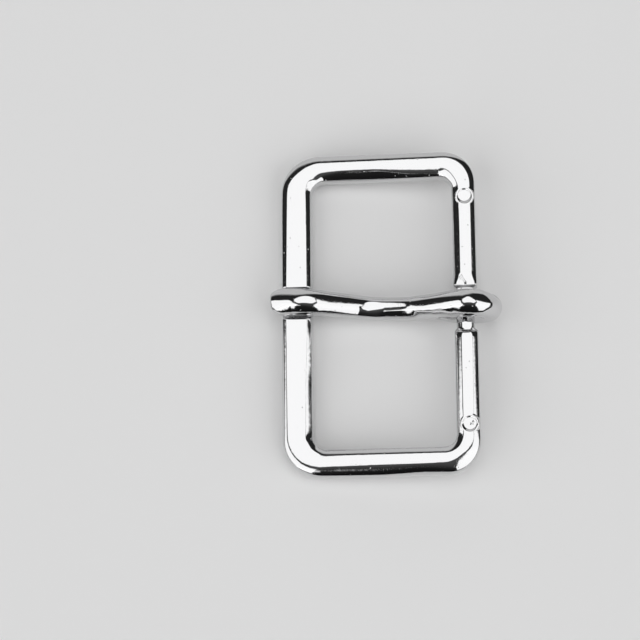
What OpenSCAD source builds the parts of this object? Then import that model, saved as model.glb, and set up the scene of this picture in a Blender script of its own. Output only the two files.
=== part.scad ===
// Single-prong heel-bar belt buckle: one cast frame and one cast tongue bent round its heel bar.
// The frame lies on its front bar's lower edge and on the eye of the tongue, so it leans a few degrees.
// Inside the modules the frame's back is the plane z = 0 and x = 0 is the middle of the frame.

/* [Frame] */
// Length of the frame along the heel bar
frame_l = 48.2; // [40:0.1:60]
// Width of the frame from the front bar's outer face to the heel bar's outer face
frame_w = 28.7; // [26:0.1:31]
// Thickness of the frame's bars
bar_t = 3.2; // [2.8:0.1:3.6]
// Width of the front bar, which carries the tip of the tongue
front_w = 4.45; // [3.8:0.05:4.8]
// Width of the two side bars
side_w = 3.95; // [3:0.05:4.4]
// Width of the heel bar, which the strap folds round
heel_w = 3.45; // [3.2:0.05:4]
// Radius of the frame's outer corners
corner_r = 5; // [3:0.1:7]
// Radius of the window's corners
window_r = 1.8; // [1:0.1:3]
// Angle at which the frame leans when it lies on its tongue
lean = 6.6; // [5.8:0.1:7.4]

/* [Edges of the bars] */
// Width of the outer upper bevel, seen from above
outer_bevel_w = 1.05; // [0.6:0.05:1.3]
// Height of the outer upper bevel
outer_bevel_h = 0.9; // [0.5:0.05:1.2]
// Width of the inner upper bevel, seen from above
inner_bevel_w = 0.85; // [0.5:0.05:1.1]
// Height of the inner upper bevel
inner_bevel_h = 0.7; // [0.4:0.05:1]
// Width of the bevel round the back, inside and outside
back_bevel_w = 0.6; // [0.3:0.05:0.8]
// Height of the bevel round the back
back_bevel_h = 0.8; // [0.4:0.05:1]

/* [Notch and neck] */
// Offset of the notch and of the tongue's tip from the middle of the front bar
notch_y = 1.6; // [0:0.1:3]
// Width of the notch in the front bar
notch_w = 4.6; // [4.5:0.05:5.2]
// Depth of the notch below the front bar's upper face
notch_d = 1.25; // [1.2:0.05:1.5]
// Distance of the neck's axis from the heel bar's outer face
neck_inset = 1.8; // [1.7:0.05:1.9]
// Radius of the round neck that the tongue turns on
neck_r = 1.35; // [1.1:0.05:1.5]
// Length of the neck between its two shoulders
neck_l = 6.3; // [6:0.1:8]

/* [Ejector pads] */
// Distance of each pad from the middle of the heel bar
pad_y = 17; // [14:0.5:18]
// Distance of each pad's middle from the heel bar's outer face
pad_inset = 1.5; // [1.45:0.05:1.8]
// Radius of a pad's upper rim
pad_r = 1.35; // [1.2:0.05:1.5]
// Radius of the sunk mark in a pad
mark_r = 1.02; // [0.8:0.01:1.1]
// Depth of the sunk mark
mark_d = 0.3; // [0.1:0.05:0.5]

/* [Tongue] */
// Offset of the eye from the middle of the neck
eye_y = 0.6; // [0:0.1:0.6]
// Outer radius of the eye at the heel end
eye_r = 5.5; // [5.3:0.05:5.7]
// Running clearance of the eye round the neck
bore_gap = 0.07; // [0.03:0.01:0.1]
// Facets round the tongue's section
sides = 24; // [12:2:32]

/* [Hidden] */
$fn = 64;
eps = 1;

// Shank of the tongue, one row for each section, from the tip to the top of the eye
X = 0; Z = 1; W = 2; T = 3;
shank = [
    // x,    z,    width, thickness
    [-13.4,  4.08, 4.36,  4.05],
    [-11.2,  4.15, 4.36,  4.10],
    [ -9.3,  3.84, 4.10,  3.90],
    [ -7.4,  3.05, 3.75,  3.60],
    [ -5.0,  2.05, 3.55,  3.40],
    [ -2.5,  1.38, 3.45,  3.20],
    [  0.0,  1.15, 3.40,  3.10],
    [  3.0,  1.45, 3.40,  3.20],
    [  6.0,  2.40, 3.60,  3.50],
    [  8.5,  3.50, 3.85,  3.80],
    [ 10.5,  4.48, 4.05,  4.00]
];
tip_len = 2.5;          // domed end in front of the first row
tip_drop = 0.12;        // how far the tip's end lies below the first row
shank_steps = 3;        // sections between two rows
eye_w = 4.25;           // width of the tongue at the eye
tail_w = 3.7;           // width at the tail's end
tail_t = 2.1;           // thickness at the tail's end
tail_len = 4.0;         // how far the tail reaches past the neck
tail_rise = 1.6;        // how far the tail's end closes up to the shank
overlap = 0.1;          // how far the cast eye reaches into its bore before it is bored

neck_x = frame_w / 2 - neck_inset;
neck_z = bar_t / 2;
bore_r = neck_r + bore_gap;
foot_x = -frame_w / 2 + back_bevel_w;
foot_z = -foot_x * sin(lean);
neck_height = neck_x * sin(lean) + neck_z * cos(lean) + foot_z;
tail_outer_r = neck_height;

function lean_pt(p) = [p[0] * cos(lean) - p[2] * sin(lean), p[1], p[0] * sin(lean) + p[2] * cos(lean) + foot_z];
function flat_y(x) = eye_y + (notch_y - eye_y) * max(0, neck_x - 2 - x) / (neck_x - 2 + frame_w / 2 - front_w / 2);
function catmull(a, b, c, d, t) =
    0.5 * (2 * b + (c - a) * t + (2 * a - 5 * b + 4 * c - d) * t * t + (3 * b - a - 3 * c + d) * t * t * t);
function ease(t) = t * t * (3 - 2 * t);

// The eye: angle 90 is over the neck, 0 points away from the frame, and floor_angle points at the floor
floor_angle = -90 - lean;
function outer_r(a) = eye_r + (tail_outer_r - eye_r) * ease(min(1, max(0, (20 - a) / (20 - floor_angle))));
function eye_row(a) =
    let (inner = bore_r - overlap, outer = outer_r(a), mid = (inner + outer) / 2)
    [neck_x + mid * cos(a), neck_z + mid * sin(a), eye_w, outer - inner];

eye_rows = [for (a = [90 : -10 : floor_angle]) eye_row(a)];
bottom = eye_row(floor_angle);
tail_rows = [for (s = [0.25 : 0.25 : 1])
    [bottom[X] - tail_len * s,
     bottom[Z] - tail_len * s * sin(lean) + tail_rise * s * s + (bottom[T] - tail_t) * ease(s) / 4,
     bottom[W] + (tail_w - bottom[W]) * s,
     bottom[T] + (tail_t - bottom[T]) * ease(s)]];

shank_ext = concat([2 * shank[0] - shank[1]], shank, [eye_rows[0], eye_rows[1]]);
shank_rows = [for (i = [1 : len(shank_ext) - 3], j = [0 : shank_steps - 1])
    catmull(shank_ext[i - 1], shank_ext[i], shank_ext[i + 1], shank_ext[i + 2], j / shank_steps)];

// Domed ends: each step is the sine of an angle, so the end is round
tip_rows = [for (a = [80 : -16 : 16])
    let (s = sin(a), k = cos(a), r = shank[0])
    [r[X] - tip_len * s, r[Z] - tip_drop * s * s, r[W] * k, r[T] * k]];
tail_end = tail_rows[len(tail_rows) - 1];
tail_before = tail_rows[len(tail_rows) - 2];
tail_dir = [tail_end[X] - tail_before[X], tail_end[Z] - tail_before[Z]] / norm([tail_end[X] - tail_before[X],
    tail_end[Z] - tail_before[Z]]);
end_rows = [for (a = [30, 60, 80])
    [tail_end[X] + tail_dir[0] * 0.5 * sin(a), tail_end[Z] + tail_dir[1] * 0.5 * sin(a),
     tail_end[W] * (0.75 + 0.25 * cos(a)), tail_end[T] * (0.6 + 0.4 * cos(a))]];
rows = concat(tip_rows, shank_rows, eye_rows, tail_rows, end_rows);

function unit(v) = v / norm(v);
function tangent(i) =
    let (a = rows[max(0, i - 1)], b = rows[min(len(rows) - 1, i + 1)])
    unit([b[X] - a[X], b[Z] - a[Z]]);
function ring(i) =
    let (r = rows[i], d = tangent(i), n = [-d[1], d[0]])
    [for (k = [0 : sides - 1])
        let (a = 360 * k / sides, up = r[T] / 2 * cos(a), out = r[W] / 2 * sin(a))
        [r[X] + n[0] * up, flat_y(r[X]) + out, r[Z] + n[1] * up]];
tongue_pts = [for (i = [0 : len(rows) - 1]) each ring(i)];
tongue_faces = concat(
    [[for (k = [0 : sides - 1]) k]],
    [for (i = [0 : len(rows) - 2], k = [0 : sides - 1])
        let (a = i * sides + k, b = i * sides + (k + 1) % sides) [a, a + sides, b + sides, b]],
    [[for (k = [sides - 1 : -1 : 0]) (len(rows) - 1) * sides + k]]);

tongue_x = [for (p = tongue_pts) lean_pt(p)[0]];
shift_x = -(min(tongue_x) + max(tongue_x)) / 2;

// Turns the flat model into the way it lies, with the origin under the middle of the whole buckle
module at_rest() {
    translate([shift_x, 0, foot_z]) rotate([0, -lean, 0]) children();
}

// Half section of a plate whose edge is at distance half: bevelled above and behind
function plate_edge(half) = [
    [0, 0], [half - back_bevel_w, 0], [half, back_bevel_h], [half, bar_t - outer_bevel_h],
    [half - outer_bevel_w, bar_t], [0, bar_t]];

// Half section of the window's cutter, which flares towards both faces
function window_edge(half) = [
    [0, -eps], [half + back_bevel_w, -eps], [half + back_bevel_w, 0], [half, back_bevel_h],
    [half, bar_t - inner_bevel_h], [half + inner_bevel_w, bar_t], [half + inner_bevel_w, bar_t + eps],
    [0, bar_t + eps]];

function both_sides(edge) = concat(edge, [for (i = [len(edge) - 2 : -1 : 1]) [-edge[i][0], edge[i][1]]]);

// Rounded rectangular block of size w by l with corner radius r, whose edge has the given half section
module bevelled_block(w, l, r, edge_w, edge_l, edge_r) {
    rotate([90, 0, 0]) linear_extrude(height = l - 2 * r, center = true) polygon(both_sides(edge_w));
    rotate([90, 0, 90]) linear_extrude(height = w - 2 * r, center = true) polygon(both_sides(edge_l));
    for (sx = [-1, 1], sy = [-1, 1])
        translate([sx * (w / 2 - r), sy * (l / 2 - r), 0]) rotate_extrude() polygon(edge_r);
}

module plate() {
    bevelled_block(frame_w, frame_l, corner_r,
        plate_edge(frame_w / 2), plate_edge(frame_l / 2), plate_edge(corner_r));
}

module window() {
    w = frame_w - front_w - heel_w;
    l = frame_l - 2 * side_w;
    translate([(front_w - heel_w) / 2, 0, 0])
        bevelled_block(w, l, window_r, window_edge(w / 2), window_edge(l / 2), window_edge(window_r));
}

// Rounded groove across the front bar, in which the tip of the tongue lies
module notch() {
    fillet = 0.7;
    floor_z = bar_t - notch_d;
    translate([-frame_w / 2 - eps, notch_y, 0]) rotate([90, 0, 90]) linear_extrude(height = front_w + 2 * eps) {
        translate([-notch_w / 2, floor_z + fillet]) square([notch_w, notch_d + eps]);
        translate([-notch_w / 2 + fillet, floor_z]) square([notch_w - 2 * fillet, notch_d]);
        for (s = [-1, 1]) translate([s * (notch_w / 2 - fillet), floor_z + fillet]) circle(r = fillet);
    }
}

// Gap in the heel bar between the two shoulders, with its lips bevelled above and behind
module neck_gap() {
    lip = 0.4;
    h = neck_l / 2;
    translate([neck_x - heel_w, 0, 0]) rotate([90, 0, 90]) linear_extrude(height = 2 * heel_w)
        polygon([[-h - lip, -eps], [h + lip, -eps], [h + lip, 0], [h, lip], [h, bar_t - lip], [h + lip, bar_t],
            [h + lip, bar_t + eps], [-h - lip, bar_t + eps], [-h - lip, bar_t], [-h, bar_t - lip], [-h, lip],
            [-h - lip, 0]]);
}

module neck() {
    root = 0.25;
    translate([neck_x, 0, neck_z]) {
        rotate([90, 0, 0]) cylinder(r = neck_r, h = neck_l + 2 * root, center = true);
        for (s = [-1, 1]) translate([0, s * neck_l / 2, 0]) rotate([s * 90, 0, 0])
            cylinder(r1 = neck_r + root, r2 = neck_r, h = root);
    }
}

// Round pad that the ejector pin pushed on, standing out of the heel bar's bevels
module pad() {
    skirt_h = 1.2;
    translate([0, 0, bar_t - skirt_h]) cylinder(r1 = pad_r + 0.1, r2 = pad_r, h = skirt_h);
}

module mark() {
    translate([0, 0, bar_t - mark_d]) cylinder(r1 = mark_r - 0.1, r2 = mark_r, h = mark_d);
    translate([0, 0, bar_t]) cylinder(r = mark_r, h = eps);
}

module frame() {
    color("gainsboro") at_rest() {
        difference() {
            union() {
                difference() {
                    plate();
                    window();
                }
                for (s = [-1, 1]) translate([frame_w / 2 - pad_inset, s * pad_y, 0]) pad();
            }
            notch();
            neck_gap();
            for (s = [-1, 1]) translate([frame_w / 2 - pad_inset, s * pad_y, 0]) mark();
        }
        neck();
    }
}

module tongue() {
    color("silver") at_rest() difference() {
        polyhedron(points = tongue_pts, faces = tongue_faces, convexity = 6);
        translate([neck_x, 0, neck_z]) rotate([90, 0, 0]) cylinder(r = bore_r, h = 4 * eye_w, center = true);
    }
}

frame();
tongue();
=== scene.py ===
import math
import bmesh
import bpy
import numpy as np
from mathutils import Matrix, Vector


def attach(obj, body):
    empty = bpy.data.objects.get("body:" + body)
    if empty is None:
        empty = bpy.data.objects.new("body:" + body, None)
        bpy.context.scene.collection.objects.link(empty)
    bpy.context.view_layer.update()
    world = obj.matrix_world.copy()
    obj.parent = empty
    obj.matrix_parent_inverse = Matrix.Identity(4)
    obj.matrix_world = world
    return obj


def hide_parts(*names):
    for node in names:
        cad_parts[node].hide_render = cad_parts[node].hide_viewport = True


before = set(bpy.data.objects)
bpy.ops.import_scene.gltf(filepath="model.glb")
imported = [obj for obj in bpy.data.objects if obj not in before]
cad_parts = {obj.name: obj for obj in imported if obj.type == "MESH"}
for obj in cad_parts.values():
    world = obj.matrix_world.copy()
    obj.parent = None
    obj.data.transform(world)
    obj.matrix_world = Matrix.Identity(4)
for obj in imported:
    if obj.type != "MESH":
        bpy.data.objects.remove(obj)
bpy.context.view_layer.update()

# Camera: the camera of a product shot. It stands almost straight over the buckle, a little towards the
# foot of the picture, with a long lens, and is turned by about a degree. Lengths are in metres.
CAMERA_AIM = Vector((-0.00966, -0.00043, 0.00083))
CAMERA_RISE = math.radians(77.26)
CAMERA_TURN = math.radians(1.14)
CAMERA_ROLL = math.radians(0.7)
CAMERA_RANGE = 0.298
LENS_MM = 113.4
camera_back = Vector((
    -math.sin(CAMERA_TURN) * math.cos(CAMERA_RISE),
    -math.cos(CAMERA_TURN) * math.cos(CAMERA_RISE),
    math.sin(CAMERA_RISE),
))
level_right = (-camera_back).cross(Vector((0, 0, 1))).normalized()
level_up = level_right.cross(-camera_back)
camera_right = level_right * math.cos(CAMERA_ROLL) + level_up * math.sin(CAMERA_ROLL)
camera_up = level_up * math.cos(CAMERA_ROLL) - level_right * math.sin(CAMERA_ROLL)
camera_axes = Matrix((camera_right, camera_up, camera_back)).transposed().to_4x4()
camera = bpy.data.objects.new("camera", bpy.data.cameras.new("camera"))
camera.data.lens = LENS_MM
camera.data.sensor_width = 36
camera.data.clip_start = 0.01
camera.data.clip_end = 20
camera.matrix_world = Matrix.Translation(camera_back * CAMERA_RANGE + CAMERA_AIM) @ camera_axes
bpy.context.scene.collection.objects.link(camera)
bpy.context.scene.camera = camera
bpy.context.scene.view_settings.view_transform = "Standard"


# Frame: one zinc casting, polished and chrome plated. Its four bars have a narrow flat face that rounds
# off to both sides; the front bar is notched for the tongue, and the heel bar has a round neck and two
# pads where the ejector pins pushed it out of the mould. Lengths are in millimetres.
FRAME_L = 48.2
FRAME_W = 28.7
BAR_T = 3.2
FRONT_W = 4.45
SIDE_W = 3.95
HEEL_W = 3.45
WINDOW_R = 1.9
CORNER_R = {"top left": 5.6, "top right": 5.0, "foot right": 5.0, "foot left": 5.7}
half_w = FRAME_W / 2
half_l = FRAME_L / 2
# The buckle lies on the edge of its front bar and on the tongue's eye, so the frame leans
LEAN = math.radians(6.6)
LYING = Matrix.Translation((-0.7016, 0, 1.5804)) @ Matrix.Rotation(-LEAN, 4, "Y")

# How the bars round off: how far in from the edge the surface reaches each of these slopes, in degrees.
# The first number of a row is the place on the way round: 0 to 1 is the front bar, 1 to 2 the corner
# after it, 2 to 3 the upper side bar, 4 to 5 the heel bar and 6 to 7 the lower side bar.
SLOPES = np.array([2, 8, 14, 20, 27, 34, 41, 48, 60, 86])
outside_edge = np.array([
    (0.00, 0.90, 0.70, 0.60, 0.55, 0.49, 0.43, 0.35, 0.10, 0.05, 0),
    (0.25, 0.78, 0.67, 0.62, 0.58, 0.50, 0.42, 0.33, 0.10, 0.05, 0),
    (0.50, 0.72, 0.64, 0.52, 0.42, 0.33, 0.24, 0.16, 0.13, 0.08, 0),
    (0.90, 0.90, 0.76, 0.62, 0.47, 0.33, 0.20, 0.13, 0.10, 0.06, 0),
    (1.22, 1.10, 0.86, 0.72, 0.60, 0.48, 0.37, 0.25, 0.20, 0.12, 0),
    (1.50, 1.50, 1.20, 0.76, 0.50, 0.38, 0.26, 0.16, 0.13, 0.08, 0),
    (1.78, 1.50, 1.20, 0.85, 0.65, 0.48, 0.34, 0.28, 0.24, 0.18, 0),
    (2.00, 1.38, 1.13, 0.87, 0.66, 0.48, 0.34, 0.28, 0.25, 0.20, 0),
    (3.00, 1.38, 1.13, 0.87, 0.66, 0.48, 0.34, 0.28, 0.25, 0.20, 0),
    (3.22, 1.25, 1.05, 0.85, 0.68, 0.50, 0.36, 0.28, 0.23, 0.15, 0),
    (3.50, 1.50, 1.10, 0.62, 0.40, 0.26, 0.17, 0.12, 0.10, 0.06, 0),
    (3.78, 1.10, 0.94, 0.79, 0.59, 0.40, 0.22, 0.10, 0.08, 0.04, 0),
    (4.10, 1.02, 0.86, 0.70, 0.54, 0.40, 0.27, 0.13, 0.09, 0.04, 0),
    (4.40, 1.15, 0.93, 0.74, 0.50, 0.35, 0.24, 0.14, 0.10, 0.05, 0),
    (4.75, 1.25, 1.08, 0.90, 0.72, 0.60, 0.52, 0.46, 0.12, 0.05, 0),
    (5.00, 1.40, 1.20, 1.00, 0.80, 0.65, 0.55, 0.48, 0.12, 0.06, 0),
    (5.25, 1.70, 1.62, 1.55, 1.00, 0.62, 0.38, 0.20, 0.15, 0.08, 0),
    (5.38, 1.95, 1.88, 1.80, 1.55, 0.60, 0.36, 0.22, 0.13, 0.07, 0),
    (5.50, 2.10, 2.02, 1.92, 1.76, 0.62, 0.34, 0.20, 0.13, 0.07, 0),
    (5.62, 2.10, 2.02, 1.94, 1.80, 0.50, 0.34, 0.20, 0.14, 0.08, 0),
    (5.80, 1.98, 1.84, 1.70, 1.50, 0.80, 0.56, 0.32, 0.20, 0.10, 0),
    (6.00, 1.88, 1.72, 1.56, 1.38, 1.08, 0.82, 0.60, 0.32, 0.15, 0),
    (6.20, 1.77, 1.62, 1.48, 1.35, 1.23, 0.95, 0.85, 0.37, 0.20, 0),
    (6.50, 1.93, 1.69, 1.45, 1.20, 1.05, 0.62, 0.54, 0.10, 0.03, 0),
    (6.78, 1.88, 1.62, 1.36, 1.22, 1.05, 0.70, 0.50, 0.12, 0.03, 0),
    (6.90, 1.86, 1.60, 1.35, 1.20, 1.02, 0.76, 0.34, 0.14, 0.04, 0),
    (7.15, 1.75, 1.50, 1.25, 1.08, 0.92, 0.62, 0.34, 0.20, 0.10, 0),
    (7.50, 1.30, 0.95, 0.62, 0.35, 0.28, 0.22, 0.16, 0.13, 0.08, 0),
    (7.78, 1.10, 0.70, 0.55, 0.45, 0.35, 0.25, 0.16, 0.12, 0.07, 0),
    (8.00, 0.90, 0.70, 0.60, 0.55, 0.49, 0.43, 0.35, 0.10, 0.05, 0),
])
window_edge = np.array([
    (0.00, 1.70, 1.45, 1.20, 0.93, 0.76, 0.64, 0.52, 0.10, 0.05, 0),
    (0.25, 1.50, 1.28, 1.05, 0.85, 0.70, 0.60, 0.50, 0.10, 0.05, 0),
    (0.42, 1.08, 0.93, 0.78, 0.63, 0.49, 0.37, 0.24, 0.18, 0.10, 0),
    (0.90, 1.18, 1.00, 0.84, 0.65, 0.50, 0.37, 0.24, 0.18, 0.10, 0),
    (1.22, 1.30, 1.12, 0.95, 0.78, 0.60, 0.38, 0.15, 0.11, 0.05, 0),
    (1.50, 1.85, 1.60, 1.36, 1.06, 0.74, 0.43, 0.15, 0.11, 0.05, 0),
    (1.78, 1.90, 1.70, 1.40, 0.85, 0.55, 0.38, 0.20, 0.15, 0.08, 0),
    (2.20, 1.95, 1.72, 1.55, 1.40, 1.32, 1.26, 1.00, 0.30, 0.10, 0),
    (2.44, 1.95, 1.72, 1.55, 1.40, 1.32, 1.26, 1.00, 0.30, 0.10, 0),
    (2.47, 1.95, 1.72, 1.55, 1.40, 1.32, 1.26, 1.24, 0.30, 0.10, 0),
    (2.75, 1.90, 1.68, 1.42, 0.95, 0.78, 0.58, 0.56, 0.18, 0.07, 0),
    (3.22, 1.55, 1.38, 1.20, 0.85, 0.66, 0.50, 0.30, 0.17, 0.08, 0),
    (3.50, 1.15, 0.98, 0.80, 0.63, 0.46, 0.30, 0.16, 0.12, 0.06, 0),
    (3.78, 1.05, 0.95, 0.82, 0.64, 0.46, 0.32, 0.24, 0.19, 0.12, 0),
    (4.20, 1.22, 1.06, 0.88, 0.70, 0.53, 0.40, 0.27, 0.22, 0.14, 0),
    (4.80, 1.15, 1.01, 0.87, 0.74, 0.60, 0.50, 0.40, 0.12, 0.06, 0),
    (5.22, 1.20, 1.00, 0.84, 0.69, 0.53, 0.38, 0.25, 0.20, 0.13, 0),
    (5.50, 1.30, 1.08, 0.83, 0.60, 0.42, 0.33, 0.26, 0.22, 0.16, 0),
    (5.78, 1.23, 1.06, 0.89, 0.66, 0.44, 0.27, 0.18, 0.15, 0.10, 0),
    (6.20, 1.24, 1.07, 0.90, 0.62, 0.49, 0.36, 0.24, 0.18, 0.10, 0),
    (6.80, 1.24, 1.07, 0.90, 0.62, 0.49, 0.36, 0.24, 0.18, 0.10, 0),
    (7.22, 1.50, 1.15, 0.80, 0.55, 0.45, 0.36, 0.26, 0.20, 0.12, 0),
    (7.50, 1.40, 1.15, 0.92, 0.68, 0.50, 0.32, 0.18, 0.14, 0.07, 0),
    (7.78, 1.28, 1.07, 0.88, 0.68, 0.50, 0.32, 0.15, 0.09, 0.05, 0),
    (8.00, 1.70, 1.45, 1.20, 0.93, 0.76, 0.64, 0.52, 0.10, 0.05, 0),
])


def ease(t):
    """A soft step from 0 to 1."""
    t = np.clip(t, 0, 1)
    return t * t * (3 - 2 * t)


# Stations round the frame: place on the way, outer point, window's point and the direction outwards
stations = []
COARSE_STEP = 0.45
CORNER_STEPS = 40
CATCH_UP = 2.5


def add_corner(place, name, side_x, side_y, start):
    """A quarter turn from direction start, in degrees, clockwise seen from above."""
    bar_w = FRONT_W if side_x < 0 else HEEL_W
    outer_r = CORNER_R[name]
    outer_centre = np.array((side_x * (half_w - outer_r), side_y * (half_l - outer_r)))
    window_centre = np.array((
        side_x * (half_w - bar_w - WINDOW_R),
        side_y * (half_l - SIDE_W - WINDOW_R),
    ))
    for t in np.linspace(0, 1, CORNER_STEPS + 1)[1:-1]:
        a = math.radians(start - 90 * t)
        n = np.array((math.cos(a), math.sin(a)))
        stations.append((place + t, outer_centre + n * outer_r, window_centre + n * WINDOW_R, n))


def add_bar(place, n, across, outer_ends, window_ends, fine=COARSE_STEP, dense=()):
    """A straight bar. across holds the fixed outer and window coordinate, the ends are where the outer and
    the window's straight parts begin and end, and dense lists the stretches with stations fine apart."""
    along = 1 if abs(n[0]) > 0.5 else 0
    first, last = outer_ends
    way = 1 if last > first else -1
    p = first
    steps = [first]
    while (last - p) * way > 1e-6:
        near = any(a <= p + way * 1e-9 < b for a, b in dense)
        p = p + way * (fine if near else COARSE_STEP)
        p = min(p, last) if way > 0 else max(p, last)
        steps.append(p)
    # The window's corners are tighter than the outer ones, so its points catch up near both ends
    outer_marks = np.array([first * way, first * way + CATCH_UP, last * way - CATCH_UP, last * way])
    window_marks = outer_marks.copy()
    window_marks[0] = window_ends[0] * way
    window_marks[3] = window_ends[1] * way
    for p in steps:
        outer_point = np.zeros(2)
        window_point = np.zeros(2)
        outer_point[along] = p
        window_point[along] = np.interp(p * way, outer_marks, window_marks) * way
        outer_point[1 - along], window_point[1 - along] = across
        stations.append((place + (p - first) / (last - first), outer_point, window_point, np.array(n)))


NOTCH_Y = 1.6
NOTCH_W = 4.6
window_y = half_l - SIDE_W - WINDOW_R
window_left = -(half_w - FRONT_W - WINDOW_R)
window_right = half_w - HEEL_W - WINDOW_R
# Stations stand close together at the ends of the notch, and at the pads and the shoulders
NOTCH_STEP = 0.06
NOTCH_REACH = 0.9
HEEL_STEP = 0.09
notch_ends = [NOTCH_Y + side * NOTCH_W / 2 for side in (-1, 1)]
add_bar(0, (-1, 0), (-half_w, -half_w + FRONT_W),
        (-(half_l - CORNER_R["foot left"]), half_l - CORNER_R["top left"]), (-window_y, window_y),
        NOTCH_STEP, [(y - NOTCH_REACH, y + NOTCH_REACH) for y in notch_ends])
add_corner(1, "top left", -1, 1, 180)
add_bar(2, (0, 1), (half_l, half_l - SIDE_W),
        (-(half_w - CORNER_R["top left"]), half_w - CORNER_R["top right"]), (window_left, window_right))
add_corner(3, "top right", 1, 1, 90)
add_bar(4, (1, 0), (half_w, half_w - HEEL_W),
        (half_l - CORNER_R["top right"], -(half_l - CORNER_R["foot right"])), (window_y, -window_y),
        HEEL_STEP, [(-19.1, -14.6), (-4.3, -1.4), (1.4, 5.6), (14.6, 19.1)])
add_corner(5, "foot right", 1, -1, 0)
add_bar(6, (0, -1), (-half_l, -half_l + SIDE_W),
        (half_w - CORNER_R["foot right"], -(half_w - CORNER_R["foot left"])), (window_right, window_left))
add_corner(7, "foot left", -1, -1, -90)


def read_off(table, place):
    """The reach at each slope, between the rows of a table."""
    return np.array([np.interp(place, table[:, 0], table[:, k]) for k in range(1, len(SLOPES) + 1)])


def rounded_side(reach):
    """Distance from the edge and depth below the face, from the face to the edge."""
    steps = np.arange(0, len(SLOPES) - 1 + 1e-6, 1 / 3)
    d = np.interp(steps, range(len(SLOPES)), reach)
    slope = np.radians(np.interp(steps, range(len(SLOPES)), SLOPES))
    falls = (d[:-1] - d[1:]) * np.tan((slope[:-1] + slope[1:]) / 2)
    return d, np.concatenate([[0], np.cumsum(falls)])


# The rounding changes smoothly from one station to the next
BLEND = 0.7
corners = np.array([station[1] for station in stations])
gaps = np.linalg.norm(np.roll(corners, -1, 0) - corners, axis=1)
going = np.concatenate([[0], np.cumsum(gaps)[:-1]])
apart = np.abs(going[:, None] - going[None, :])
apart = np.minimum(apart, gaps.sum() - apart)
weight = np.exp(-0.5 * (apart / BLEND) ** 2) * (gaps + np.roll(gaps, 1))[None, :]
weight = weight / weight.sum(1, keepdims=True)
places = [station[0] for station in stations]
outside_at = weight @ read_off(outside_edge, places).T
window_at = weight @ read_off(window_edge, places).T


NOTCH_D = 1.25
NOTCH_FILLET = 0.7
LIP_IN = 0.09
LIP_W = 0.13


def notch_at(y):
    """How far a station is in the notch, from 0 to 1, and how high the bar's face is there."""
    side = abs(y - NOTCH_Y) - NOTCH_W / 2
    within = 0.5 - 0.5 * math.erf((side + LIP_IN) / LIP_W)
    fillet = min(NOTCH_FILLET, max(0.0, NOTCH_FILLET + side)) if side < 0 else NOTCH_FILLET
    depth = NOTCH_D - NOTCH_FILLET + math.sqrt(NOTCH_FILLET ** 2 - fillet ** 2)
    return within, BAR_T - within * depth


NECK_X = half_w - 1.8
NECK_Z = BAR_T / 2
NECK_R = 1.35
UPPER_NECK_END = 3.53
LOWER_NECK_END = 3.28
SHOULDER_LEN = 0.5
# How square the neck is beside the eye, which covers it up to EYE_COVERS: 1 is round
SQUARE_OUTSIDE = 0.46
SQUARE_INSIDE = 0.64
EYE_COVERS = 1.98
LOWER_SHOULDER_FALLS = 0.2
STREAK_LEN = 1.7
STREAK_D = 0.09


def neck_and_shoulders(x, y, z):
    """Draws the heel bar's section in to the round neck, and shapes the shoulders on both sides of it."""
    neck_end = UPPER_NECK_END if y > 0 else LOWER_NECK_END
    q = ease((neck_end - abs(y)) / SHOULDER_LEN)
    if q > 0:
        a = np.arctan2(z - BAR_T / 2, x - (half_w - HEEL_W / 2))
        square = np.where(np.cos(a) > 0, SQUARE_OUTSIDE, SQUARE_INSIDE)
        square = square + (1 - square) * ease((EYE_COVERS - abs(y)) / 0.2)
        x = x * (1 - q) + (NECK_X + NECK_R * np.sign(np.cos(a)) * np.abs(np.cos(a)) ** square) * q
        z = z * (1 - q) + (NECK_Z + NECK_R * np.sign(np.sin(a)) * np.abs(np.sin(a)) ** square) * q
    # The lower shoulder is rounded, and the upper one keeps its full width and has a pressed streak
    end = abs(y) - neck_end
    high = np.clip((z - 1.8) / 0.8, 0, 1)
    if y < 0 and end < 1.0:
        z = z - high * LOWER_SHOULDER_FALLS * (1 - math.sqrt(1 - (1 - max(end, 0)) ** 2)) * (1 - q)
    if y > 0 and end < STREAK_LEN:
        streak = ease((STREAK_LEN - end) / 0.5) * (1 - q)
        streak_x = NECK_X - 0.05 - 0.5 * ease(end / 1.4)
        streak_w = 0.16 + 0.1 * math.exp(-((end - 0.4) / 0.3) ** 2)
        z = z - high * STREAK_D * streak * np.exp(-((x - streak_x) / streak_w) ** 2)
    return x, z


PAD_X = half_w - 1.5
PAD_Y = 17.0
PAD_R = 1.35
PAD_RISE = 1.2
PAD_WALL = 0.25
MARK_R = 1.02
MARK_D = 0.17
MARK_WALL = 0.09
MARK_WALL_MORE = 0.36


def pad_height(x, y, z, side, gentle_at):
    """Raises the pad and sinks the pin's round mark in it, whose wall is gentlest at one angle."""
    r = np.hypot(x - PAD_X, y - side * PAD_Y)
    near = (r < 2.0) & (z > BAR_T * 0.56)
    if not near.any():
        return z
    pad = BAR_T - PAD_RISE * np.clip((r - PAD_R) / PAD_WALL, 0, 1)
    z = np.where(near, np.maximum(z, pad), z)
    facing = np.cos(np.arctan2(y - side * PAD_Y, x - PAD_X) - math.radians(gentle_at))
    wall = MARK_WALL + MARK_WALL_MORE * np.clip(facing, 0, 1)
    z = np.where(near, z - MARK_D * ease((MARK_R - r) / wall + 0.5), z)
    if side < 0:
        # A burr and the pin's centre dimple
        burr = np.exp(-((x - PAD_X - 0.55) / 0.13) ** 2 - ((y + PAD_Y - 0.15) / 0.3) ** 2)
        z = np.where(near, z + 0.06 * burr - 0.05 * np.exp(-(r / 0.17) ** 2), z)
    return z


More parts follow.
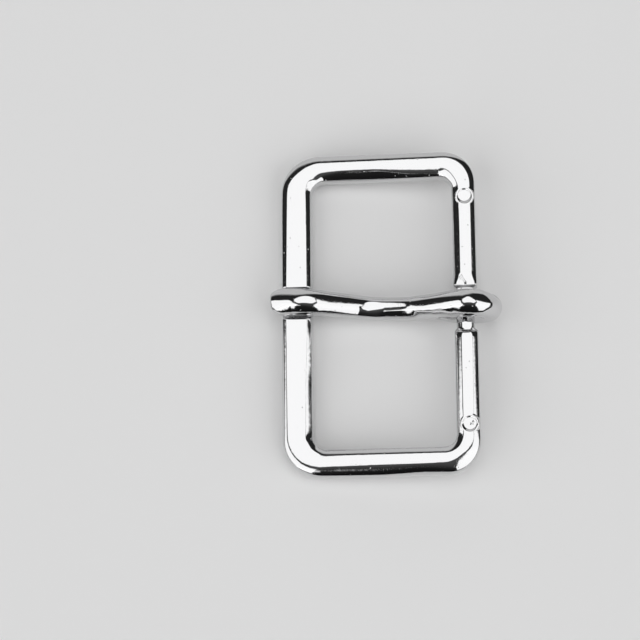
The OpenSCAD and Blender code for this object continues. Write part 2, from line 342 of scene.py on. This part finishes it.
# The face has as many points across as the back; small bevels run along the back's edges
FACE_POINTS = 12
BACK_W = 0.6
BACK_H = 0.8
FLARE_FROM = 5.6
FLARE_LEN = 2.2
FLARE_SHARPER = 0.6
NOTCH_SHARPER = 0.75


def bar_ring(outer, window, n, outside_reach, window_reach):
    """The points round the bar at one station."""
    y = outer[1]
    on_heel = n[0] > 0.99
    within, top = notch_at(y) if n[0] < -0.99 else (0.0, BAR_T)
    out_d, out_drop = rounded_side(outside_reach)
    in_d, in_drop = rounded_side(window_reach)
    # Both sides round off less in the notch, and where the heel bar flares towards the upper shoulder
    sharper = 1 - NOTCH_SHARPER * within
    if on_heel and 0 < y < FLARE_FROM:
        sharper = 1 - FLARE_SHARPER * ease((FLARE_FROM - y) / FLARE_LEN)
    out_d = out_d * sharper
    out_drop = out_drop * sharper
    in_d = in_d * sharper
    in_drop = in_drop * sharper
    # The side walls, and the bevels along the back
    back_d = np.array([0, 0, 0.02, 0.12, 0.3, 0.48, BACK_W])
    back_z = [BACK_H + 0.12, BACK_H - 0.05, 0.62, 0.38, 0.14, 0]
    out_half = (top - out_drop[-1] + BACK_H) / 2
    in_half = (top - in_drop[-1] + BACK_H) / 2
    from_out = outer[None, :] - n[None, :] * np.concatenate([out_d, back_d])[:, None]
    from_in = window[None, :] + n[None, :] * np.concatenate([in_d, back_d])[:, None]
    z_out = np.concatenate([top - out_drop, [out_half], back_z])
    z_in = np.concatenate([top - in_drop, [in_half], back_z])
    share = np.linspace(0, 1, FACE_POINTS + 2)[1:-1, None]
    face = from_in[:1] * (1 - share) + from_out[:1] * share
    back = from_out[-1:] * (1 - share) + from_in[-1:] * share
    xy = np.concatenate([from_out, back, from_in[::-1], face])
    z = np.concatenate([z_out, np.zeros(FACE_POINTS), z_in[::-1], np.full(FACE_POINTS, top)])
    x = xy[:, 0]
    if on_heel:
        x, z = neck_and_shoulders(x, y, z)
    z = pad_height(x, xy[:, 1], z, -1, 235)
    z = pad_height(x, xy[:, 1], z, 1, 265)
    return np.stack([x, xy[:, 1], z], 1)


def sweep(rings, closed):
    """A bmesh skin over rings of points, extruded from one ring to the next."""
    skin = bmesh.new()
    ring = [skin.verts.new(p) for p in rings[0]]
    edges = [skin.edges.new((ring[k], ring[(k + 1) % len(ring)])) for k in range(len(ring))]
    first_ring = ring
    first_edges = edges
    for points in rings[1:]:
        made = bmesh.ops.extrude_edge_only(skin, edges=edges)["geom"]
        fresh = {g for g in made if isinstance(g, bmesh.types.BMVert)}
        ring = [next(e.other_vert(v) for e in v.link_edges if e.other_vert(v) in fresh) for v in ring]
        edges = [g for g in made if isinstance(g, bmesh.types.BMEdge) and fresh.issuperset(g.verts)]
        for v, p in zip(ring, points):
            v.co = p
    if closed:
        bmesh.ops.bridge_loops(skin, edges=first_edges + edges)
    else:
        skin.faces.new(first_ring)
        skin.faces.new(ring)
    bmesh.ops.recalc_face_normals(skin, faces=skin.faces[:])
    return skin


def lay_down(name, skin):
    """Turns a bmesh in the frame's millimetres into a smooth object that lies in its place."""
    bmesh.ops.transform(skin, matrix=Matrix.Scale(0.001, 4) @ LYING, verts=skin.verts[:])
    mesh = bpy.data.meshes.new(name)
    skin.to_mesh(mesh)
    skin.free()
    for polygon in mesh.polygons:
        polygon.use_smooth = True
    piece = bpy.data.objects.new(name, mesh)
    bpy.context.scene.collection.objects.link(piece)
    return piece


bar_rings = []
for (_, outer, window, n), outside_reach, window_reach in zip(stations, outside_at, window_at):
    bar_rings.append(bar_ring(outer, window, n, outside_reach, window_reach))
buckle_frame = lay_down("buckle_frame", sweep(bar_rings, True))

# Polished chrome plate, on the frame and on the tongue
chrome = bpy.data.materials.new("polished_chrome")
chrome.use_nodes = True
plating = chrome.node_tree
plate_shader = plating.nodes["Principled BSDF"]
plate_shader.inputs["Base Color"].default_value = (0.68, 0.68, 0.685, 1)
plate_shader.inputs["Metallic"].default_value = 1
plate_shader.inputs["Roughness"].default_value = 0.05


def feed(tree, socket, value):
    """Links a node's input to another node's output, or sets it to a plain value."""
    if isinstance(value, bpy.types.NodeSocket):
        tree.links.new(value, socket)
    else:
        socket.default_value = value


def plate_node(kind, **inputs):
    """A node of the plating, whose inputs are named as its sockets are, with _ for a space."""
    node = plating.nodes.new(kind)
    for name, value in inputs.items():
        feed(plating, node.inputs[name.replace("_", " ")], value)
    return node.outputs


# Textures count in millimetres, the depths of the relief are in metres
place_m = plate_node("ShaderNodeTexCoord")["Object"]
place_mm = plate_node("ShaderNodeMapping", Vector=place_m, Scale=(1000, 1000, 1000))[0]
# Waves that polishing leaves
waves = plate_node("ShaderNodeTexNoise", Vector=place_mm, Scale=0.9, Detail=1.5)["Fac"]
relief = plate_node("ShaderNodeBump", Height=waves, Distance=6e-6)[0]
waves = plate_node("ShaderNodeTexNoise", Vector=place_mm, Scale=4.5, Detail=2.0)["Fac"]
relief = plate_node("ShaderNodeBump", Height=waves, Distance=5e-7, Normal=relief)[0]
# Casting pits
pits = plate_node("ShaderNodeTexVoronoi", Vector=place_mm, Scale=0.85)["Distance"]
pits = plate_node("ShaderNodeMapRange", Value=pits, From_Min=0.02, From_Max=0.075)[0]
relief = plate_node("ShaderNodeBump", Height=pits, Distance=2.2e-5, Normal=relief)[0]
# Fine scratches along and across
for stretch in ((0.25, 9, 9), (9, 0.25, 9)):
    drawn_out = plate_node("ShaderNodeMapping", Vector=place_mm, Scale=stretch)[0]
    scratches = plate_node("ShaderNodeTexNoise", Vector=drawn_out, Scale=1.0, Detail=2.0)["Fac"]
    scratches = plate_node("ShaderNodeMapRange", Value=scratches, From_Min=0.6, From_Max=0.72)[0]
    relief = plate_node("ShaderNodeBump", Height=scratches, Distance=8e-7, Normal=relief)[0]
plating.links.new(relief, plate_shader.inputs["Normal"])
buckle_frame.data.materials.append(chrome)
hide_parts("frame")
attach(buckle_frame, "frame")


# Tongue: one zinc casting, polished and chrome plated, closed round the neck after plating. It comes out
# of the eye, dips into the window and lies with its blunt tip in the notch; its back is flattened
# towards the upper side, and its tail is tucked in under the shank. Lengths are in millimetres.
BORE_R = 1.42
EYE_INNER = BORE_R - 0.1
EYE_W = 4.06
EYE_TAPER = 0.46
TAPER_FROM = 20
EYE_FOOT_R = 4.612
floor_angle = -90 - math.degrees(LEAN)
# Side view and plan of the shank: x, middle of its height, thickness and width
shank = [np.array(row) for row in (
    (-13.4, 4.08, 4.05, 4.08),
    (-11.2, 4.15, 4.10, 3.97),
    (-9.3, 3.84, 3.90, 3.84),
    (-7.4, 3.07, 3.60, 3.67),
    (-5.0, 2.10, 3.40, 3.54),
    (-2.5, 1.26, 3.20, 3.49),
    (-0.8, 1.02, 3.12, 3.45),
    (1.0, 1.06, 3.12, 3.43),
    (3.0, 1.115, 3.25, 3.46),
    (5.2, 1.27, 3.42, 3.50),
    (6.9, 1.90, 3.60, 3.55),
    (8.5, 2.77, 3.72, 3.63),
    (10.0, 3.62, 3.80, 3.80),
    (11.2, 4.26, 3.77, 3.93),
)]
# Outside of the eye: angle round the neck and distance from its middle
eye_outside = np.array([
    (floor_angle, EYE_FOOT_R), (-80, 4.65), (-60, 4.84), (-30, 5.26), (-8, 5.44), (17, 5.28), (29, 5.20),
    (40, 5.17), (45, 5.15), (53, 5.12), (61, 5.06), (67, 5.01), (78, 4.94), (90, 4.94),
])
TIP_W = 4.08
TIP_TOP = 6.2
TIP_UNDERSIDE = 2.06
TIP_FALLS_FROM = -11.45
TIP_SHORTER = 0.974
DOME_FROM = -13.4
DOME_LEN = 2.5


def tip_row(x):
    """The tip, whose top falls towards its blunt, domed end."""
    u = max(0, TIP_FALLS_FROM - x)
    s = max(0, (DOME_FROM - x) / DOME_LEN)
    top = TIP_TOP - 0.056 * u * u - 0.00048 * u ** 4
    low = TIP_UNDERSIDE + 0.55 * max(0, s - 0.15) ** 2
    end = math.sqrt(max(0, 1 - ((s - 0.9) / 0.1) ** 2)) if s > 0.9 else 1
    width = TIP_W * max(0.04, (1 - min(1, s) ** 3.5) ** 0.4)
    x = TIP_FALLS_FROM + (x - TIP_FALLS_FROM) * TIP_SHORTER
    return np.array((x, (top + low) / 2, (top - low) * (0.12 + 0.88 * end), width))


def eye_row(a):
    """The eye at angle a round the neck, narrower towards its foot."""
    outer = np.interp(a, eye_outside[:, 0], eye_outside[:, 1])
    mid = (EYE_INNER + outer) / 2
    x = NECK_X + mid * math.cos(math.radians(a))
    z = NECK_Z + mid * math.sin(math.radians(a))
    width = EYE_W - EYE_TAPER * ease((TAPER_FROM - a) / (TAPER_FROM - floor_angle))
    return np.array((x, z, outer - EYE_INNER, width))


def between(a, b, c, d, t):
    """A smooth curve from b to c that passes a before and d after."""
    return (2 * b + (c - a) * t + (2 * a - 5 * b + 4 * c - d) * t * t + (3 * b - a - 3 * c + d) * t ** 3) / 2


tip_rows = [tip_row(x) for x in (-15.9, -15.87, -15.8, -15.7, *np.arange(-15.55, -11.5, 0.15))]
eye_rows = [eye_row(a) for a in np.linspace(90, floor_angle, 64)]
knots = shank + [eye_rows[0], eye_row(80)]
shank_rows = []
for i in range(1, len(knots) - 2):
    shank_rows += [between(*knots[i - 1:i + 3], t / 12) for t in range(12)]
TAIL_W = 2.9
TAIL_T = 2.1
TAIL_LEN = 3.6
TAIL_RISE = 1.6
TAIL_END_LEN = 0.5
under_eye = eye_rows[-1]
tail_rows = []
for s in np.linspace(0, 1, 17)[1:]:
    rise = TAIL_RISE * s * s + (under_eye[2] - TAIL_T) * ease(s) / 4
    tail_rows.append(np.array((
        under_eye[0] - TAIL_LEN * s,
        under_eye[1] - TAIL_LEN * s * math.sin(LEAN) + rise,
        under_eye[2] + (TAIL_T - under_eye[2]) * ease(s),
        under_eye[3] + (TAIL_W - under_eye[3]) * s,
    )))
tail_end = tail_rows[-1]
tail_way = tail_end[:2] - tail_rows[-2][:2]
tail_way = tail_way / np.linalg.norm(tail_way)
end_rows = []
for a in np.radians([15, 30, 45, 60, 72, 80]):
    end_rows.append((
        *(tail_end[:2] + tail_way * TAIL_END_LEN * math.sin(a)),
        tail_end[2] * (0.6 + 0.4 * math.cos(a)),
        tail_end[3] * (0.75 + 0.25 * math.cos(a)),
    ))
rows = np.array([*tip_rows, *shank_rows, *eye_rows, *tail_rows, *end_rows])

# Even steps along the tongue and a smooth course through them, but its two ends keep their rows
TONGUE_STEP = 0.13
SMOOTHINGS = 30
gone = np.concatenate([[0], np.cumsum(np.hypot(np.diff(rows[:, 0]), np.diff(rows[:, 1])))])
way = np.concatenate([gone[:5], np.arange(gone[5] + 0.1, gone[-6], TONGUE_STEP), gone[-6:]])
rows = np.stack([np.interp(way, gone, rows[:, k]) for k in range(4)], 1)
for _ in range(SMOOTHINGS):
    rows[5:-6] = (rows[4:-7] + 2 * rows[5:-6] + rows[6:-5]) / 4

# How the tongue's back rounds off, as parts of half its width, for the slopes above: from the upper
# silhouette inwards and from the lower one inwards. The first number is x, and goes on round the eye.
upper_side = np.array([
    (-16.0, 0.98, 0.90, 0.58, 0.38, 0.33, 0.28, 0.18, 0.14, 0.08, 0),
    (-12.5, 0.98, 0.88, 0.64, 0.44, 0.38, 0.32, 0.21, 0.17, 0.10, 0),
    (-11.2, 0.96, 0.82, 0.67, 0.49, 0.42, 0.35, 0.24, 0.19, 0.11, 0),
    (-10.0, 0.87, 0.76, 0.65, 0.52, 0.47, 0.43, 0.32, 0.23, 0.09, 0),
    (-9.0, 0.80, 0.70, 0.60, 0.53, 0.50, 0.47, 0.34, 0.24, 0.09, 0),
    (-6.3, 0.78, 0.67, 0.57, 0.53, 0.50, 0.47, 0.30, 0.22, 0.09, 0),
    (-4.9, 0.89, 0.73, 0.56, 0.52, 0.49, 0.46, 0.34, 0.24, 0.08, 0),
    (-3.4, 0.90, 0.76, 0.62, 0.55, 0.52, 0.49, 0.40, 0.27, 0.08, 0),
    (-2.0, 0.82, 0.72, 0.64, 0.56, 0.52, 0.48, 0.42, 0.31, 0.15, 0),
    (-0.6, 0.80, 0.70, 0.64, 0.59, 0.55, 0.51, 0.45, 0.37, 0.24, 0),
    (2.2, 0.80, 0.68, 0.64, 0.60, 0.56, 0.53, 0.48, 0.40, 0.27, 0),
    (4.4, 0.84, 0.70, 0.63, 0.57, 0.52, 0.48, 0.42, 0.34, 0.22, 0),
    (5.6, 0.88, 0.76, 0.62, 0.50, 0.44, 0.38, 0.28, 0.22, 0.12, 0),
    (7.0, 0.85, 0.73, 0.58, 0.50, 0.46, 0.38, 0.25, 0.20, 0.12, 0),
    (8.5, 0.78, 0.67, 0.58, 0.54, 0.51, 0.41, 0.26, 0.20, 0.12, 0),
    (10.0, 0.85, 0.73, 0.58, 0.53, 0.50, 0.42, 0.26, 0.20, 0.11, 0),
    (11.3, 0.95, 0.84, 0.62, 0.50, 0.47, 0.44, 0.26, 0.19, 0.09, 0),
    (13.3, 0.97, 0.84, 0.65, 0.49, 0.45, 0.41, 0.26, 0.20, 0.10, 0),
    (14.4, 1.08, 0.95, 0.76, 0.58, 0.50, 0.44, 0.29, 0.21, 0.11, 0),
    (15.2, 1.12, 1.04, 0.94, 0.84, 0.75, 0.66, 0.42, 0.30, 0.15, 0),
    (15.8, 0.98, 0.95, 0.90, 0.84, 0.78, 0.72, 0.46, 0.34, 0.16, 0),
    (20.0, 0.98, 0.90, 0.80, 0.70, 0.60, 0.50, 0.32, 0.24, 0.12, 0),
])
lower_side = np.array([
    (-16.0, 0.98, 0.95, 0.66, 0.38, 0.12, 0.10, 0.08, 0.07, 0.05, 0),
    (-14.8, 0.98, 0.92, 0.68, 0.45, 0.24, 0.20, 0.14, 0.11, 0.06, 0),
    (-13.6, 0.92, 0.84, 0.74, 0.65, 0.56, 0.48, 0.38, 0.16, 0.06, 0),
    (-12.5, 0.90, 0.82, 0.74, 0.68, 0.64, 0.60, 0.54, 0.20, 0.05, 0),
    (-11.2, 0.90, 0.82, 0.74, 0.68, 0.62, 0.57, 0.50, 0.20, 0.05, 0),
    (-10.0, 0.92, 0.84, 0.75, 0.66, 0.57, 0.49, 0.41, 0.19, 0.06, 0),
    (-9.0, 0.92, 0.82, 0.74, 0.64, 0.54, 0.45, 0.37, 0.18, 0.07, 0),
    (-7.7, 0.88, 0.79, 0.71, 0.60, 0.50, 0.41, 0.34, 0.17, 0.07, 0),
    (-4.9, 0.92, 0.84, 0.76, 0.64, 0.51, 0.40, 0.31, 0.16, 0.06, 0),
    (-3.4, 0.94, 0.86, 0.75, 0.64, 0.53, 0.41, 0.26, 0.18, 0.07, 0),
    (-2.0, 0.80, 0.66, 0.54, 0.48, 0.42, 0.34, 0.18, 0.13, 0.06, 0),
    (-0.6, 0.86, 0.76, 0.64, 0.54, 0.45, 0.34, 0.14, 0.10, 0.05, 0),
    (0.8, 0.95, 0.88, 0.80, 0.72, 0.62, 0.52, 0.40, 0.18, 0.05, 0),
    (3.4, 0.96, 0.90, 0.82, 0.74, 0.66, 0.58, 0.46, 0.20, 0.05, 0),
    (5.4, 0.90, 0.84, 0.77, 0.70, 0.65, 0.59, 0.50, 0.20, 0.05, 0),
    (7.0, 0.87, 0.78, 0.68, 0.60, 0.54, 0.48, 0.40, 0.20, 0.05, 0),
    (8.5, 0.90, 0.80, 0.69, 0.58, 0.48, 0.41, 0.33, 0.20, 0.05, 0),
    (10.0, 0.92, 0.83, 0.73, 0.63, 0.55, 0.48, 0.40, 0.24, 0.05, 0),
    (11.3, 0.95, 0.88, 0.80, 0.72, 0.66, 0.60, 0.52, 0.26, 0.04, 0),
    (13.2, 0.97, 0.90, 0.82, 0.75, 0.69, 0.63, 0.54, 0.26, 0.04, 0),
    (14.6, 0.84, 0.78, 0.70, 0.61, 0.52, 0.43, 0.31, 0.21, 0.07, 0),
    (20.0, 0.98, 0.84, 0.72, 0.60, 0.48, 0.38, 0.26, 0.20, 0.11, 0),
])
# The eye stands off the frame's middle, and the shank slants to the notch
EYE_Y = 0.46
SLANT = 0.0445
SLANT_FROM = NECK_X - 2
LAST_X = 20
STEP_RISE = 0.036
furthest = int(np.argmax(rows[:, 0]))
under = np.radians(np.arange(10, 171, 10))


def tongue_ring(i, x, z, t, w):
    """The points round the tongue at one step, for its middle, its thickness and its width."""
    before = rows[max(0, i - 1)]
    after = rows[min(len(rows) - 1, i + 1)]
    d = (after - before)[:2] / np.linalg.norm((after - before)[:2])
    on_top = i < furthest
    y = EYE_Y + SLANT * max(0, SLANT_FROM - x) if on_top else EYE_Y
    key = x if on_top else min(LAST_X, x + 2 * (NECK_Z + 2 - z))
    up_d, up_drop = rounded_side(read_off(upper_side, key) * w / 2)
    low_d, low_drop = rounded_side(read_off(lower_side, key) * w / 2)
    squash = min(1, 0.92 * t / max(up_drop[-1], low_drop[-1]))
    up_drop = up_drop * squash
    low_drop = low_drop * squash
    seam = np.interp(np.cos(under), [-1, 1], [low_drop[-1], up_drop[-1]])
    belly = t / 2 - seam - (t - seam) * np.sin(under)
    out = np.concatenate([w / 2 - up_d, w / 2 * np.cos(under), -(w / 2 - low_d[::-1])])
    up = np.concatenate([t / 2 - up_drop, belly, t / 2 - low_drop[::-1]])
    if on_top:
        # A narrow step that the press left along the middle of the trough
        along = ease((x - 0.4) / 0.6) * ease((6.0 - x) / 0.8)
        up = up + STEP_RISE * along * np.exp(-((out + 0.68 - 0.05 * (x - 3)) / 0.15) ** 2) * (up > 0)
    px = x - d[1] * up
    pz = z + d[0] * up
    # Nothing reaches into the bore
    r = np.hypot(px - NECK_X, pz - NECK_Z)
    push = np.where(r < BORE_R, BORE_R / np.maximum(r, 1e-6), 1)
    return np.stack([NECK_X + (px - NECK_X) * push, y + out, NECK_Z + (pz - NECK_Z) * push], 1)


buckle_tongue = lay_down("buckle_tongue", sweep([tongue_ring(i, *row) for i, row in enumerate(rows)], False))
buckle_tongue.data.materials.append(chrome)
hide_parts("tongue")
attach(buckle_tongue, "tongue")


# Ground: the pale matt paper sheet of a product shot, far larger than the picture, flat under the
# buckle. It only carries the shadows and is no part of the buckle.
SHEET_HALF = 2.0
sheet = bmesh.new()
bmesh.ops.create_grid(sheet, x_segments=8, y_segments=8, size=SHEET_HALF)
sheet_mesh = bpy.data.meshes.new("floor")
sheet.to_mesh(sheet_mesh)
sheet.free()
floor = bpy.data.objects.new("floor", sheet_mesh)
bpy.context.scene.collection.objects.link(floor)
paper = bpy.data.materials.new("paper")
paper.use_nodes = True
paper_shader = paper.node_tree.nodes["Principled BSDF"]
paper_shader.inputs["Base Color"].default_value = (0.86, 0.86, 0.86, 1)
paper_shader.inputs["Roughness"].default_value = 0.5
floor.data.materials.append(paper)


# Studio light: a panel overhead and a large softbox on each side, with dark gaps between them where the
# camera and its stand are, a dark ceiling past them and a grey sweep behind. It is painted on the sky in
# directions, in degrees from straight up: X to the right, Y to the picture's top.
world = bpy.data.worlds.new("studio")
bpy.context.scene.world = world
world.use_nodes = True
sky = world.node_tree
IN_DEGREES = 57.2958
LAMP_STRENGTH = 1.35
SWEEP_STRENGTH = 0.64
HAZE_STRENGTH = 0.01
CARD_STRENGTH = 0.8
PANEL_SOFT = 1.5
SIDE_SOFT = 0.8


def sky_math(operation, *values):
    """One step of arithmetic on sockets and plain numbers."""
    node = sky.nodes.new("ShaderNodeMath")
    node.operation = operation
    for socket, value in zip(node.inputs, values):
        feed(sky, socket, value)
    return node.outputs[0]


def times(a, b):
    return sky_math("MULTIPLY", a, b)


def plus(a, b):
    return sky_math("ADD", a, b)


def minus(a, b):
    return sky_math("SUBTRACT", a, b)


def soft_step(value, low, high):
    """0 where value is under low, 1 where it is over high."""
    node = sky.nodes.new("ShaderNodeMapRange")
    node.interpolation_type = "SMOOTHSTEP"
    for socket, given in zip(node.inputs[:5], (value, low, high, 0.0, 1.0)):
        feed(sky, socket, given)
    return node.outputs[0]


def below(value, edge, soft):
    """1 where value is below edge, 0 above, over a soft border."""
    return soft_step(minus(edge, value), -soft, soft)


def bent_edge(value, points):
    """A bent edge of a light: goes through the points, given in degrees."""
    node = sky.nodes.new("ShaderNodeFloatCurve")
    curve = node.mapping.curves[0]
    while len(curve.points) < len(points):
        curve.points.new(0.5, 0.5)
    for point, (x, y) in zip(curve.points, sorted(points)):
        point.location = ((x + 100) / 200, (y + 100) / 200)
        point.handle_type = "VECTOR"
    node.mapping.update()
    sky.links.new(sky_math("DIVIDE", plus(value, 100.0), 200.0), node.inputs["Value"])
    return minus(times(node.outputs[0], 200.0), 100.0)


direction = sky.nodes.new("ShaderNodeSeparateXYZ")
sky.links.new(sky.nodes.new("ShaderNodeTexCoord").outputs["Generated"], direction.inputs[0])
dx, dy, dz = direction.outputs
level = sky_math("SQRT", plus(times(dx, dx), times(dy, dy)))
from_up = times(sky_math("ARCTAN2", level, dz), IN_DEGREES)
degrees_per_unit = sky_math("DIVIDE", from_up, sky_math("MAXIMUM", level, 0.0001))
sky_x = times(dx, degrees_per_unit)
sky_y = times(dy, degrees_per_unit)
x_squared = times(sky_x, sky_x)
# Overhead panel, with the camera in front of its lower edge
panel_top = minus(33.5, times(x_squared, 0.045))
panel_foot = minus(-16.0, times(x_squared, 0.02))
panel_left = bent_edge(sky_y, [
    (-100, 0), (-30, -8), (-20, -12.5), (-12, -16.5), (-4, -20), (4, -21), (100, -21)])
panel_right = bent_edge(sky_y, [
    (-100, 0), (-30, 8), (-20, 13.5), (-12, 17.5), (-4, 21), (4, 22.5), (100, 22.5)])
panel = times(below(sky_y, panel_top, PANEL_SOFT), below(panel_foot, sky_y, PANEL_SOFT))
panel = times(panel, below(panel_left, sky_x, SIDE_SOFT))
panel = times(panel, below(sky_x, panel_right, SIDE_SOFT))
# Left and right softboxes
box_top = bent_edge(sky_x, [
    (-100, 14.5), (-75, 14), (-30, 12.8), (24, 14), (34, 12.3), (60, 12), (100, 12)])
left_edge = bent_edge(sky_y, [
    (-100, -30), (-78, -25), (-64, -20), (-44, -15), (-14, -24.5), (6, -26), (13, -31), (100, -31)])
right_edge = bent_edge(sky_y, [
    (-100, 26), (-73, 19), (-48, 14), (-25, 19), (-12, 24.5), (20, 23.5), (100, 23.5)])
boxes = plus(below(sky_x, left_edge, SIDE_SOFT), below(right_edge, sky_x, SIDE_SOFT))
boxes = times(boxes, below(sky_y, box_top, 1.2))
lamps = times(sky_math("MINIMUM", plus(panel, boxes), 1.0), below(from_up, 79.5, 2.0))
# Grey sweep behind the buckle, and a little haze over all
sweep_edge = bent_edge(sky_x, [
    (-100, 50), (-70, 47), (-18, 39), (1, 45), (23, 54), (38, 61), (100, 66)])
backdrop = soft_step(minus(sky_y, sweep_edge), -4.0, 6.0)
haze = bent_edge(sky_y, [(-100, 0.8), (-80, 0.9), (-60, 2.2), (-25, 9.0), (-12, 2.5), (100, 2.0)])
# A narrow card at the foot of the left softbox
card = times(below(sky_y, -52.0, 3.0), below(-62.0, sky_y, 3.0))
card = times(card, below(sky_x, -11.2, 1.3))
light = plus(times(lamps, LAMP_STRENGTH), times(backdrop, SWEEP_STRENGTH))
light = plus(light, times(haze, HAZE_STRENGTH))
light = plus(light, times(card, CARD_STRENGTH))
sky.links.new(light, sky.nodes["Background"].inputs["Color"])
